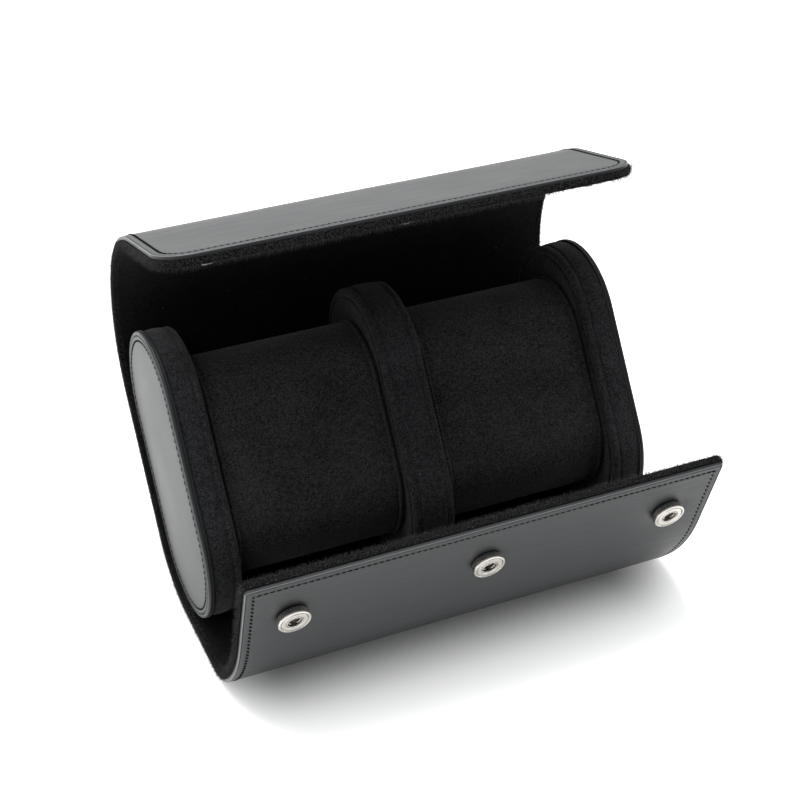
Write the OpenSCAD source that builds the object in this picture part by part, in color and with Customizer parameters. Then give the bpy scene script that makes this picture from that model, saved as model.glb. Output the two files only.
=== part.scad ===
/* [Roll] */
// Length of the roll, from one edge of the wrap to the other
case_length = 165; // [150:1:200]
// How far the caps' long axis leans back from upright, in degrees
lean = 35; // [25:1:42]

/* [Wrap] */
// Thickness of the outer leather
leather = 1.2; // [0.8:0.1:1.6]
// Thickness of the stiffening board
board = 1.2; // [0.8:0.1:1.6]
// Thickness of the suede lining
lining = 1.6; // [1.2:0.1:2]
// How far the board stays inside the wrap's edges
board_inset = 2.5; // [1:0.5:4]
// Gap between the wrap and the caps, and between soft pieces that move past each other
clearance = 0.3; // [0.2:0.05:0.5]

/* [Front flap] */
// Flat stretch under the case, from the caps' lowest line to the first bend
floor_flat = 31; // [28:1:36]
// Radius of the first bend, at the middle of the wrap's thickness
front_bend_r = 18; // [14:1:24]
// Turn of the first bend, in degrees
front_bend = 45; // [38:1:52]
// Radius of the long bend above it
front_curve_r = 68; // [58:1:80]
// Turn of the long bend, in degrees
front_curve = 27; // [20:1:32]
// Straight stretch up to the flap's edge
front_straight = 32.5; // [29:0.5:37]
// Fold line under the case, from the caps' lowest line
front_fold = 12; // [8:1:16]
// Fold line in the long bend, measured the same way
front_tip_fold = 60; // [54:1:66]
// Corner radius of the front flap
front_corner_r = 3; // [1:0.5:8]

/* [Top flap] */
// Height of the fold line on the back, above the caps' middle
back_fold = 28; // [24:1:31]
// Radius of the first stretch over the caps, at the middle of the wrap's thickness
top_curve_r = 50; // [44:1:58]
// Turn of the first stretch, in degrees
top_curve = 75; // [68:1:80]
// Radius of the tighter stretch after it
top_bend_r = 38; // [32:1:46]
// Turn of the tighter stretch, in degrees
top_bend = 33; // [26:1:38]
// Straight stretch down to the flap's edge
top_straight = 41.5; // [38:0.5:46]
// Second fold line, measured along the flap from the first
top_mid_fold = 34; // [28:1:40]
// Third fold line, measured along the flap from the first
top_tip_fold = 100; // [94:1:106]
// Corner radius of the top flap
top_corner_r = 12; // [6:1:16]

/* [Caps and divider] */
// Long way across a cap
cap_height = 99; // [94:1:106]
// Short way across a cap
cap_depth = 56; // [52:1:62]
// Thickness of a cap
cap_thickness = 12; // [11:0.5:15]
// How far a cap's outer face lies inside the wrap's edge
cap_inset = 1.6; // [0.5:0.1:3]
// Thickness of the caps' outer leather panel
panel = 2; // [1.4:0.1:2.6]
// Depth to which the panel's edge turns inwards
panel_turn = 4; // [3.6:0.1:5]
// Thickness of the leather where it is turned over the board's edge
panel_edge = 1; // [0.8:0.1:1.4]
// Thickness of the stiff oval board behind the panel
cap_board = 1.5; // [1:0.1:1.6]
// Step from the panel's edge down to the suede band
band_step = 0.6; // [0.3:0.1:1.2]
// Thickness of the suede on caps, divider and pillows
suede = 1.2; // [0.8:0.1:1.6]
// Wall of the card ring under the suede band
ring_wall = 2; // [1.5:0.1:3]
// Radius of the sewn bead round each suede face
bead_r = 1.5; // [1:0.1:2]
// Thickness of the centre divider
divider_thickness = 15; // [12:0.5:18]

/* [Pillows] */
// Long way across a pillow
pillow_height = 78; // [72:1:80]
// Short way across a pillow
pillow_depth = 46; // [40:1:48]
// How far a pillow's middle lies in front of the caps' middle
pillow_forward = 1.5; // [0:0.5:3]
// Gap between a pillow's end and the face beside it
pillow_gap = 0.3; // [0.2:0.1:0.6]

/* [Press studs] */
// Number of press studs
stud_count = 3; // [2:1:4]
// Distance between two press studs
stud_pitch = 65.7; // [40:0.1:70]
// Distance from the front flap's edge to the line of sockets
socket_inset = 20; // [17:0.5:23]
// Distance from the top flap's edge to the line of studs
stud_inset = 8; // [7:0.5:10]
// Outside radius of a socket
socket_r = 5.45; // [5:0.05:6]
// Height of a socket above the leather
socket_height = 2.6; // [2:0.1:2.8]
// Radius of a socket's mouth
mouth_r = 2.25; // [2.1:0.05:2.5]
// Radius of a stud's post
post_r = 1.85; // [1.6:0.05:1.95]
// Height of a stud's post above its flange
post_height = 1.9; // [1.5:0.1:2.2]
// Thickness of a stud's flange above the lining
flange = 0.7; // [0.5:0.1:0.8]
// Radius of the barrels that pass through the flaps
barrel_r = 2.9; // [2.7:0.1:3.2]
// Radius of the concealed plates that hold the barrels
plate_r = 5; // [4.5:0.1:6]
// Thickness of the concealed plates
plate = 0.5; // [0.4:0.05:0.6]
// Radius of the spring's wire in a socket
spring_wire_r = 0.25; // [0.2:0.01:0.3]

/* [Hidden] */
$fn = 64;

LEFT = -1;
RIGHT = 1;
FRONT = -1;
BACK = 1;

// The layers of the wrap, as distances from the middle of its thickness, positive inwards
wrap = leather + board + lining;
outer_skin = -wrap / 2;
under_leather = outer_skin + leather;
under_lining = under_leather + board;
inner_skin = wrap / 2;

// The caps' outline is an oval of two half circles and two straight sides
cap_r = cap_depth / 2;
cap_half_straight = cap_height / 2 - cap_r;
wrap_r = cap_r + clearance + wrap / 2;

// The origin is on the floor, in the middle of the flat strip between the lowest line and the first fold
lowest_y = front_fold / 2;
middle_y = lowest_y + cap_half_straight * sin(lean);
middle_z = cap_r + clearance + wrap + cap_half_straight * cos(lean);

// The wrap's middle line, from the lowest line out to each edge, as [length, radius] with 0 for straight
function arc_length(r, turn) = r * turn * PI / 180;
front_line = [
    [floor_flat, 0],
    [arc_length(front_bend_r, front_bend), front_bend_r],
    [arc_length(front_curve_r, front_curve), front_curve_r],
    [front_straight, 0]
];
back_line = [
    [arc_length(wrap_r, 90 - lean), wrap_r],
    [cap_half_straight + back_fold, 0],
    [arc_length(top_curve_r, top_curve), top_curve_r],
    [arc_length(top_bend_r, top_bend), top_bend_r],
    [top_straight, 0]
];
function line_of(side) = side == FRONT ? front_line : back_line;
function total(line, i = 0) = i == len(line) ? 0 : line[i][0] + total(line, i + 1);
function start_of(line, i) = i == 0 ? 0 : start_of(line, i - 1) + line[i - 1][0];

// Folds, as distances along the wrap from the lowest line
front_edge = total(front_line);
top_edge = total(back_line);
top_fold = start_of(back_line, 2);
top_folds = [top_fold, top_fold + top_mid_fold, top_fold + top_tip_fold];

// A fold is a half-round end, with the next stretch's square end just clear of it
fold_gap = wrap / 2 + clearance;
facet = 5;
end_steps = 4;

half_length = case_length / 2;
cap_out = half_length - cap_inset;
cap_in = cap_out - cap_thickness;
band_inset = band_step;
bead_middle = band_inset + bead_r;
face_inset = band_inset + 2 * bead_r;
band_end = cap_thickness - 2 * bead_r;
divider_half = divider_thickness / 2;
pillow_length = cap_in - divider_half - 2 * pillow_gap;
pillow_middle = (cap_in + divider_half) / 2;
spring_r = post_r + clearance / 2 + spring_wire_r;
cavity_r = spring_r + spring_wire_r + clearance / 2;
dome_edge = 0.8;
dome_rise = 0.9;
rim_r = mouth_r + 1;
hair = 0.01;

// Moves along a straight (r = 0) or an arc of radius r that turns upwards
function turn_of(r, s) = r == 0 ? 0 : s / r * 180 / PI;
function moved(p, a, r, s) =
    r == 0 ? p + s * [cos(a), sin(a)]
           : p + r * [sin(a + turn_of(r, s)) - sin(a), cos(a) - cos(a + turn_of(r, s))];
function station(line, s, p, a, i = 0) =
    i == len(line) - 1 || s <= line[i][0]
        ? [moved(p, a, line[i][1], s), a + turn_of(line[i][1], s)]
        : station(line, s - line[i][0], moved(p, a, line[i][1], line[i][0]),
                  a + turn_of(line[i][1], line[i][0]), i + 1);
// Place and heading at a distance along one side of the wrap, with the front side mirrored
function place(side, s) = station(line_of(side), s, [side * lowest_y, wrap / 2], 0);
function beside(st, d, ahead = 0) =
    st[0] + d * [-sin(st[1]), cos(st[1])] + ahead * [cos(st[1]), sin(st[1])];
function steps(line, s0, s1) = [
    for (i = [0:len(line) - 1])
        let (a = max(s0, start_of(line, i)), b = min(s1, start_of(line, i) + line[i][0]))
        if (b - a > hair)
            let (n = line[i][1] == 0 ? 1 : ceil(turn_of(line[i][1], b - a) / facet))
            each [for (k = [0:n - 1]) a + (b - a) * k / n],
    s1
];
function round_end(d) = sqrt(max(0, pow(wrap / 2, 2) - d * d));

// Points along one layer of the wrap, and round or square across its end
function mirrored(side, points) = side == FRONT ? [for (p = points) [-p[0], p[1]]] : points;
function reversed(points) = [for (i = [len(points) - 1:-1:0]) points[i]];
function layer_side(side, s0, s1, d) =
    mirrored(side, [for (s = steps(line_of(side), s0, s1)) if (s < s1) beside(place(side, s), d)]);
function layer_end(side, s1, d0, d1, folded) =
    let (last = place(side, s1), n = folded ? end_steps : 1)
    mirrored(side, [for (k = [0:n]) let (d = d0 + (d1 - d0) * k / n) beside(last, d, folded ? round_end(d) : 0)]);

// Outline of one layer of the wrap between two distances, with its far end half-round or square
module layer_outline(side, s0, s1, d0, d1, folded) {
    polygon(concat(
        layer_side(side, s0, s1, d0),
        layer_end(side, s1, d0, d1, folded),
        reversed(layer_side(side, s0, s1, d1))
    ));
}

module extrude_x(x0, x1) {
    translate([x0, 0, 0]) rotate([90, 0, 90]) linear_extrude(x1 - x0) children();
}

// Puts children at a place on the wrap, with +Y towards its edge and +Z into the case
module at_place(side, s) {
    st = place(side, s);
    mirror([0, side == FRONT ? 1 : 0, 0])
        translate([0, st[0][0], st[0][1]]) rotate([st[1], 0, 0]) children();
}

// What a rounded corner of a flap takes away, at the flap's edge
module corner_cuts(side, s, r, half) {
    at_place(side, s) for (m = [0, 1]) mirror([m, 0, 0])
        difference() {
            translate([half - r, -r, -wrap]) cube([2 * r, 2 * r, 2 * wrap]);
            translate([half - r, -r, -2 * wrap]) cylinder(h = 4 * wrap, r = r);
        }
}

// One layer of one stretch of the wrap
module layer(side, s0, s1, d0, d1, folded = true, inset = 0) {
    extrude_x(-half_length + inset, half_length - inset)
        layer_outline(side, s0, s1 - (folded ? 0 : inset), d0, d1, folded);
}

module leather_layer(side, s0, s1, folded = true) {
    color("#3a3c3e") layer(side, s0, s1, outer_skin, under_leather, folded);
}

module board_layer(side, s0, s1, folded = true) {
    color("#8a7a64") layer(side, s0, s1, under_leather, under_lining, folded, board_inset);
}

module lining_layer(side, s0, s1, folded = true) {
    color("#161618") layer(side, s0, s1, under_lining, inner_skin, folded);
}

// The base of the wrap runs through the lowest line, from the front fold to the back fold
module base_outline(d0, d1) {
    polygon(concat(
        layer_side(BACK, 0, top_fold, d0),
        layer_end(BACK, top_fold, d0, d1, true),
        reversed(layer_side(BACK, 0, top_fold, d1)),
        layer_end(FRONT, front_fold, d1, d0, true)
    ));
}

module wrap_leather() {
    color("#3a3c3e") extrude_x(-half_length, half_length) base_outline(outer_skin, under_leather);
}

module wrap_board() {
    color("#8a7a64") extrude_x(-half_length + board_inset, half_length - board_inset)
        base_outline(under_leather, under_lining);
}

module wrap_lining() {
    color("#161618") extrude_x(-half_length, half_length) base_outline(under_lining, inner_skin);
}

// An oval of the caps' shape, set in from it, in the frame of the caps' middle
module oval(inset) {
    r = cap_r - inset;
    union() {
        for (m = [-1, 1]) translate([0, m * cap_half_straight]) circle(r = r);
        square([2 * r, 2 * cap_half_straight], center = true);
    }
}

module at_middle() {
    translate([0, middle_y, middle_z]) rotate([-lean, 0, 0]) children();
}

// A slice of a cap or of the divider, from one depth to another
module cap_slice(side, from, to) {
    at_middle() mirror([side == LEFT ? 1 : 0, 0, 0]) extrude_x(cap_out - to, cap_out - from) children();
}

module oval_ring(outer, inner) {
    difference() {
        oval(outer);
        oval(inner);
    }
}

// A round bead along an oval, with its middle at x
module bead(x, inset, r) {
    way_r = cap_r - inset;
    at_middle() translate([x, 0, 0]) {
        for (m = [0, 1]) mirror([0, 0, m]) translate([0, 0, cap_half_straight])
            rotate([90, 0, 90]) rotate_extrude(angle = 180) translate([way_r, 0]) circle(r = r);
        for (m = [-1, 1]) translate([0, m * way_r, -cap_half_straight])
            cylinder(h = 2 * cap_half_straight, r = r);
    }
}

module cap_panel(side) {
    color("#55585a") difference() {
        cap_slice(side, 0, panel_turn) oval(0);
        cap_slice(side, panel, panel_turn + hair) oval(panel_edge);
    }
}

module cap_board(side) {
    color("#8a7a64") cap_slice(side, panel, panel + cap_board) oval(panel_edge);
}

module cap_ring(side) {
    color("#8a7a64") cap_slice(side, panel_turn, band_end) oval_ring(band_inset + suede, band_inset + suede + ring_wall);
}

module cap_foam(side) {
    color("#5c5c5c") cap_slice(side, panel + cap_board, band_end) oval(band_inset + suede + ring_wall);
}

module cap_band(side) {
    color("#1c1c1f") cap_slice(side, panel_turn, band_end) oval_ring(band_inset, band_inset + suede);
}

module cap_bead(side) {
    color("#1c1c1f") bead(side * (cap_in + bead_r), bead_middle, bead_r);
}

module cap_face(side) {
    color("#161618") cap_slice(side, band_end, cap_thickness) oval(face_inset);
}

module left_cap_panel() cap_panel(LEFT);
module left_cap_board() cap_board(LEFT);
module left_cap_ring() cap_ring(LEFT);
module left_cap_foam() cap_foam(LEFT);
module left_cap_band() cap_band(LEFT);
module left_cap_bead() cap_bead(LEFT);
module left_cap_face() cap_face(LEFT);
module right_cap_panel() cap_panel(RIGHT);
module right_cap_board() cap_board(RIGHT);
module right_cap_ring() cap_ring(RIGHT);
module right_cap_foam() cap_foam(RIGHT);
module right_cap_band() cap_band(RIGHT);
module right_cap_bead() cap_bead(RIGHT);
module right_cap_face() cap_face(RIGHT);

module divider_core() {
    half = divider_half - 2 * bead_r;
    color("#5c5c5c") at_middle() extrude_x(-half, half) oval(band_inset + suede);
}

module divider_band() {
    half = divider_half - 2 * bead_r;
    color("#1c1c1f") at_middle() extrude_x(-half, half) oval_ring(band_inset, band_inset + suede);
}

module divider_beads() {
    color("#1c1c1f") for (side = [LEFT, RIGHT]) bead(side * (divider_half - bead_r), bead_middle, bead_r);
}

module divider_faces() {
    color("#161618") for (side = [0, 1]) mirror([side, 0, 0])
        at_middle() extrude_x(divider_half - 2 * bead_r, divider_half) oval(face_inset);
}

// The rows of press studs stand square to the straight part of each flap
socket_place = front_edge - socket_inset;
stud_place = top_edge - stud_inset;

module each_stud() {
    for (i = [0:stud_count - 1]) translate([(i - (stud_count - 1) / 2) * stud_pitch, 0, 0]) children();
}

// Puts children on a flap at each stud, with +Z out of the leather or out of the lining
module at_sockets() {
    at_place(FRONT, socket_place) each_stud() rotate([180, 0, 0]) children();
}

module at_studs() {
    at_place(BACK, stud_place) each_stud() children();
}

module stud_bores(r, z0, z1) {
    translate([0, 0, z0]) cylinder(h = z1 - z0, r = r);
}

module front_root_leather() leather_layer(FRONT, front_fold + fold_gap, front_tip_fold);
module front_root_board() board_layer(FRONT, front_fold + fold_gap, front_tip_fold);
module front_root_lining() lining_layer(FRONT, front_fold + fold_gap, front_tip_fold);

module front_tip_leather() {
    color("#3a3c3e") difference() {
        leather_layer(FRONT, front_tip_fold + fold_gap, front_edge, false);
        corner_cuts(FRONT, front_edge, front_corner_r, half_length);
        at_sockets() stud_bores(barrel_r, -wrap, wrap);
    }
}

module front_tip_board() {
    color("#8a7a64") difference() {
        board_layer(FRONT, front_tip_fold + fold_gap, front_edge, false);
        at_sockets() stud_bores(barrel_r, -wrap, wrap);
    }
}

module front_tip_lining() {
    color("#161618") difference() {
        lining_layer(FRONT, front_tip_fold + fold_gap, front_edge, false);
        corner_cuts(FRONT, front_edge, front_corner_r, half_length);
        at_sockets() stud_bores(plate_r, -under_lining - plate, -under_lining + hair);
    }
}

module top_root_leather() leather_layer(BACK, top_folds[0] + fold_gap, top_folds[1]);
module top_root_board() board_layer(BACK, top_folds[0] + fold_gap, top_folds[1]);
module top_root_lining() lining_layer(BACK, top_folds[0] + fold_gap, top_folds[1]);
module top_mid_leather() leather_layer(BACK, top_folds[1] + fold_gap, top_folds[2]);
module top_mid_board() board_layer(BACK, top_folds[1] + fold_gap, top_folds[2]);
module top_mid_lining() lining_layer(BACK, top_folds[1] + fold_gap, top_folds[2]);

module top_tip_leather() {
    color("#3a3c3e") difference() {
        leather_layer(BACK, top_folds[2] + fold_gap, top_edge, false);
        corner_cuts(BACK, top_edge, top_corner_r, half_length);
        at_studs() stud_bores(plate_r, under_leather - plate, under_leather + hair);
    }
}

module top_tip_board() {
    color("#8a7a64") difference() {
        board_layer(BACK, top_folds[2] + fold_gap, top_edge, false);
        corner_cuts(BACK, top_edge - board_inset, top_corner_r - board_inset, half_length - board_inset);
        at_studs() stud_bores(barrel_r, -wrap, wrap);
    }
}

module top_tip_lining() {
    color("#161618") difference() {
        lining_layer(BACK, top_folds[2] + fold_gap, top_edge, false);
        corner_cuts(BACK, top_edge, top_corner_r, half_length);
        at_studs() stud_bores(barrel_r, -wrap, wrap);
    }
}

// A socket is a domed ring with a rolled rim, on a barrel that passes through leather and board
module snap_sockets() {
    bottom = -outer_skin;
    top = bottom + socket_height;
    color("#c9c9c6") at_sockets() rotate_extrude() polygon([
        [cavity_r, -under_lining],
        [barrel_r, -under_lining],
        [barrel_r, bottom],
        [socket_r, bottom],
        [socket_r, top - dome_rise],
        [socket_r - dome_edge, top - dome_rise / 3],
        [rim_r, top],
        [mouth_r, top],
        [mouth_r, top - dome_edge],
        [cavity_r, top - dome_edge]
    ]);
}

module socket_springs() {
    top = -outer_skin + socket_height - dome_edge;
    color("#dcdcda") at_sockets() translate([0, 0, top - spring_wire_r])
        rotate_extrude() translate([spring_r, 0]) circle(r = spring_wire_r);
}

module socket_plates() {
    color("#c9c9c6") at_sockets() stud_bores(plate_r, -under_lining - plate, -under_lining);
}

// A stud is a flanged post, on a barrel that passes through lining and board
module snap_studs() {
    color("#c9c9c6") at_studs() {
        stud_bores(barrel_r, under_leather, inner_skin);
        stud_bores(socket_r, inner_skin, inner_skin + flange);
        stud_bores(post_r, inner_skin + flange, inner_skin + flange + post_height);
    }
}

module stud_plates() {
    color("#c9c9c6") at_studs() stud_bores(plate_r, under_leather - plate, under_leather);
}

// An oval of the pillows' shape, set in from it
module pillow_oval(inset) {
    r = pillow_depth / 2 - inset;
    straight = pillow_height - pillow_depth;
    translate([-pillow_forward, 0]) union() {
        for (m = [-1, 1]) translate([0, m * straight / 2]) circle(r = r);
        square([2 * r, straight], center = true);
    }
}

module pillow_slice(side, half) {
    x = side * pillow_middle;
    at_middle() extrude_x(x - half, x + half) children();
}

module pillow_foam(side) {
    color("#5c5c5c") pillow_slice(side, pillow_length / 2 - suede) pillow_oval(suede);
}

module pillow_sleeve(side) {
    color("#1c1c1f") pillow_slice(side, pillow_length / 2) difference() {
        pillow_oval(0);
        pillow_oval(suede);
    }
}

module pillow_ends(side) {
    x = side * pillow_middle;
    color("#1c1c1f") at_middle() for (end = [-1, 1])
        extrude_x(x + end * (pillow_length - suede) / 2 - suede / 2, x + end * (pillow_length - suede) / 2 + suede / 2)
            pillow_oval(suede);
}

module left_pillow_foam() pillow_foam(LEFT);
module left_pillow_sleeve() pillow_sleeve(LEFT);
module left_pillow_ends() pillow_ends(LEFT);
module right_pillow_foam() pillow_foam(RIGHT);
module right_pillow_sleeve() pillow_sleeve(RIGHT);
module right_pillow_ends() pillow_ends(RIGHT);

wrap_leather();
wrap_board();
wrap_lining();
left_cap_panel();
left_cap_board();
left_cap_ring();
left_cap_foam();
left_cap_band();
left_cap_bead();
left_cap_face();
right_cap_panel();
right_cap_board();
right_cap_ring();
right_cap_foam();
right_cap_band();
right_cap_bead();
right_cap_face();
divider_core();
divider_band();
divider_beads();
divider_faces();
front_root_leather();
front_root_board();
front_root_lining();
front_tip_leather();
front_tip_board();
front_tip_lining();
top_root_leather();
top_root_board();
top_root_lining();
top_mid_leather();
top_mid_board();
top_mid_lining();
top_tip_leather();
top_tip_board();
top_tip_lining();
snap_sockets();
socket_springs();
socket_plates();
snap_studs();
stud_plates();
left_pillow_foam();
left_pillow_sleeve();
left_pillow_ends();
right_pillow_foam();
right_pillow_sleeve();
right_pillow_ends();
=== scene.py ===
"""The looks of a two-watch travel roll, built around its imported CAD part."""

import math

import bmesh
import bpy
import numpy as np
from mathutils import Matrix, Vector


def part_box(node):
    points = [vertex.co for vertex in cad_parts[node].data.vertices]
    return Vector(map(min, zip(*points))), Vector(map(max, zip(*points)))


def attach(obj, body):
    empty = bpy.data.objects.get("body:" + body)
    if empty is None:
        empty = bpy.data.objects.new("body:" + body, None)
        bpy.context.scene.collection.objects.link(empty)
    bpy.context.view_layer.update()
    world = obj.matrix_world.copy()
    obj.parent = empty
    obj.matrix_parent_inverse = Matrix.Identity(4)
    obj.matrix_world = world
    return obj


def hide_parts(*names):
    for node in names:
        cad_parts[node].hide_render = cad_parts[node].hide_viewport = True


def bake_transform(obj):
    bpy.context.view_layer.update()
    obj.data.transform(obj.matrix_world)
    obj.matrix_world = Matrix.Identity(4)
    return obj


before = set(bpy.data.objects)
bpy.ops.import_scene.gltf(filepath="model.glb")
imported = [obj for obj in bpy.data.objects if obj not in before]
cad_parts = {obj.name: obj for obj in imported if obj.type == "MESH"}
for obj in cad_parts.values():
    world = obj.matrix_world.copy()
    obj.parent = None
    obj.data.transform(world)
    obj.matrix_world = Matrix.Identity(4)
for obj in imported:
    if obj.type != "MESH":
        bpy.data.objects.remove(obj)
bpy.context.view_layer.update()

# ---- Stiffening board of the wrap ---------------------------------------------------------------
# Grey board, 1.2 mm thick, glued between the outer leather and the suede lining. It stops short of
# the wrap's edges, and it is scored at five folds. It is made as five pieces, one round each fold.
MM = 0.001
LEATHER, BOARD, LINING = 1.2 * MM, 1.2 * MM, 1.6 * MM
WRAP = LEATHER + BOARD + LINING
OUTER_SKIN = -WRAP / 2
UNDER_LEATHER = OUTER_SKIN + LEATHER
UNDER_LINING = UNDER_LEATHER + BOARD
INNER_SKIN = WRAP / 2
BOARD_INSET = 2.5 * MM
CORNER_R = {"front_edge": 1.7 * MM, "top_edge": 12 * MM}
BOARD_CORNER_R = {"front_edge": 1 * MM, "top_edge": 9.5 * MM}
HALF_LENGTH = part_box("wrap_leather")[1].x
LOWEST_Y = 6 * MM
LEAN_DEGREES = 35
LEAN = math.radians(LEAN_DEGREES)
CAP_R = 28 * MM
CAP_HALF_STRAIGHT = 21.5 * MM
CLEARANCE = 0.3 * MM
BACK_FOLD_UP = 28 * MM  # above the caps' middle


def arc(radius, turn):
    """Length and radius of an arc that turns by some degrees."""
    return radius * math.radians(turn), radius


# The wrap's middle line from its lowest line out to each edge: (length, radius), 0 for a straight
FRONT_LINE = [(31 * MM, 0), arc(18 * MM, 45), arc(68 * MM, 27), (32.5 * MM, 0)]
BACK_LINE = [
    arc(CAP_R + CLEARANCE + WRAP / 2, 90 - LEAN_DEGREES),
    (CAP_HALF_STRAIGHT + BACK_FOLD_UP, 0),
    arc(50 * MM, 75),
    arc(38 * MM, 33),
    (41.5 * MM, 0),
]
FRONT_EDGE = -sum(length for length, _ in FRONT_LINE)
TOP_EDGE = sum(length for length, _ in BACK_LINE)
BACK_FOLD = BACK_LINE[0][0] + BACK_LINE[1][0]

# Where the wrap is cut into pieces, clear of its folds
FRONT_CUT, UNDER_CUT = -29 * MM, -3 * MM
BACK_CUT, TOP_CUT = BACK_FOLD + 17 * MM, BACK_FOLD + 89 * MM

# Each piece of the wrap: name, its two ends, its fold, half the fold's width, and the bodies it joins
PIECES = [
    ("front_edge", FRONT_EDGE, FRONT_CUT, -60 * MM, 14 * MM, "front_flap_tip", "front_flap_root"),
    ("front", FRONT_CUT, UNDER_CUT, -12 * MM, 8 * MM, "front_flap_root", "case"),
    ("back", UNDER_CUT, BACK_CUT, BACK_FOLD, 11 * MM, "case", "top_flap_root"),
    ("top", BACK_CUT, TOP_CUT, BACK_FOLD + 34 * MM, 14 * MM, "top_flap_root", "top_flap_mid"),
    ("top_edge", TOP_CUT, TOP_EDGE, BACK_FOLD + 100 * MM, 9 * MM, "top_flap_mid", "top_flap_tip"),
]
# The CAD stretches that each piece stands for, leather, board or lining alike
STRETCHES = {
    "front_edge": ["front_tip"], "front": ["front_root"], "back": ["wrap"],
    "top": ["top_root", "top_mid"], "top_edge": ["top_tip"],
}


def follow(line, run):
    """Distance, height and heading after a run along a line of straights and arcs."""
    out, up, heading = 0 * run, 0 * run, 0 * run
    for i, (length, radius) in enumerate(line):
        step = np.clip(run, 0, length) if i < len(line) - 1 else np.maximum(run, 0)
        if radius:
            turned = heading + step / radius
            out = out + radius * (np.sin(turned) - np.sin(heading))
            up = up + radius * (np.cos(heading) - np.cos(turned))
            heading = turned
        else:
            out = out + step * np.cos(heading)
            up = up + step * np.sin(heading)
        run = run - step
    return out, up, heading


def on_wrap(x, along, depth):
    """Points of the wrap: along it from its lowest line, positive to the back, and depth inwards."""
    x, along, depth = np.broadcast_arrays(x, along, np.asarray(depth, float))
    front, front_up, front_heading = follow(FRONT_LINE, np.maximum(-along, 0))
    back, back_up, back_heading = follow(BACK_LINE, np.maximum(along, 0))
    heading = back_heading - front_heading
    y = LOWEST_Y + back - front - depth * np.sin(heading)
    z = WRAP / 2 + front_up + back_up + depth * np.cos(heading)
    return np.stack([x, y, z], axis=-1)


# Distances from an edge at which a sheet has its lines, and the same at a cut between two pieces
EDGE_STEPS = MM * np.array([
    0, 0.12, 0.3, 0.5, 0.75, 1, 1.2, 1.4, 1.6, 1.9, 2.3, 2.7, 3, 3.3, 3.6, 4, 4.6, 5.5, 7,
])
CUT_STEPS = MM * np.array([0, 0.25])
SHEET_STEP = 1.5 * MM
BOARD_STEP = 4 * MM
NO_EDGE = 1.0  # a distance to an edge that a piece hasn't got
SAME_POINT = 1e-6
NO_LENGTH = 1e-7


def lines_between(start, end, edge_at_start, edge_at_end, step):
    """Places of a sheet's lines: close together at an edge or a cut, and a step apart between."""
    first = start + (EDGE_STEPS if edge_at_start else CUT_STEPS)
    last = end - (EDGE_STEPS if edge_at_end else CUT_STEPS)[::-1]
    count = max(2, round((last[0] - first[-1]) / step) + 1)
    return np.concatenate([first, np.linspace(first[-1], last[0], count)[1:-1], last])


def rounded_corner(from_side, from_end, radius):
    """Bends the square corner of a grid into a quarter circle that keeps the lines along the edge."""
    across = np.clip(1 - from_side / radius, 0, 1)
    ahead = np.clip(1 - from_end / radius, 0, 1)
    most = np.maximum(across, ahead)
    turn = np.minimum(across, ahead) / np.maximum(most, NO_LENGTH) * math.pi / 4
    long_way, short_way = most * np.cos(turn), most * np.sin(turn)
    wide = across >= ahead
    corner = (across > 0) & (ahead > 0)
    new_side = radius * (1 - np.where(wide, long_way, short_way))
    new_end = radius * (1 - np.where(wide, short_way, long_way))
    return np.where(corner, new_side, from_side), np.where(corner, new_end, from_end)


def add_object(name, data):
    """Puts a mesh, a lamp or a camera into the scene."""
    thing = bpy.data.objects.new(name, data)
    bpy.context.scene.collection.objects.link(thing)
    return thing


def keep_on_points(mesh, name, values):
    """Stores a number or a vector for each point of a mesh, for its material or its node tree."""
    kind, field = ("FLOAT", "value") if values.ndim == 1 else ("FLOAT_VECTOR", "vector")
    mesh.attributes.new(name, kind, "POINT").data.foreach_set(field, values.astype(np.float32).ravel())


def mesh_piece(name, points, faces, material, sharp=40, to_edge=None):
    """A closed piece: its doubles merged, its normals outwards, smooth but for its sharp edges."""
    mesh = bpy.data.meshes.new(name)
    mesh.from_pydata([tuple(p) for p in points], [], faces)
    if to_edge is not None:
        keep_on_points(mesh, "to_edge", to_edge)
    shape = bmesh.new()
    shape.from_mesh(mesh)
    bmesh.ops.remove_doubles(shape, verts=shape.verts, dist=SAME_POINT)
    bmesh.ops.dissolve_degenerate(shape, edges=shape.edges, dist=NO_LENGTH)
    bmesh.ops.recalc_face_normals(shape, faces=shape.faces)
    shape.to_mesh(mesh)
    shape.free()
    mesh.shade_smooth()
    mesh.set_sharp_from_angle(angle=math.radians(sharp))
    mesh.materials.append(material)
    return add_object(name, mesh)


def quads(rows, columns, first=0):
    """The faces of a grid of points."""
    corner = first + np.arange(rows * columns).reshape(rows, columns)
    return np.stack(
        [corner[:-1, :-1], corner[:-1, 1:], corner[1:, 1:], corner[1:, :-1]], axis=-1
    ).reshape(-1, 4).tolist()


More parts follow.
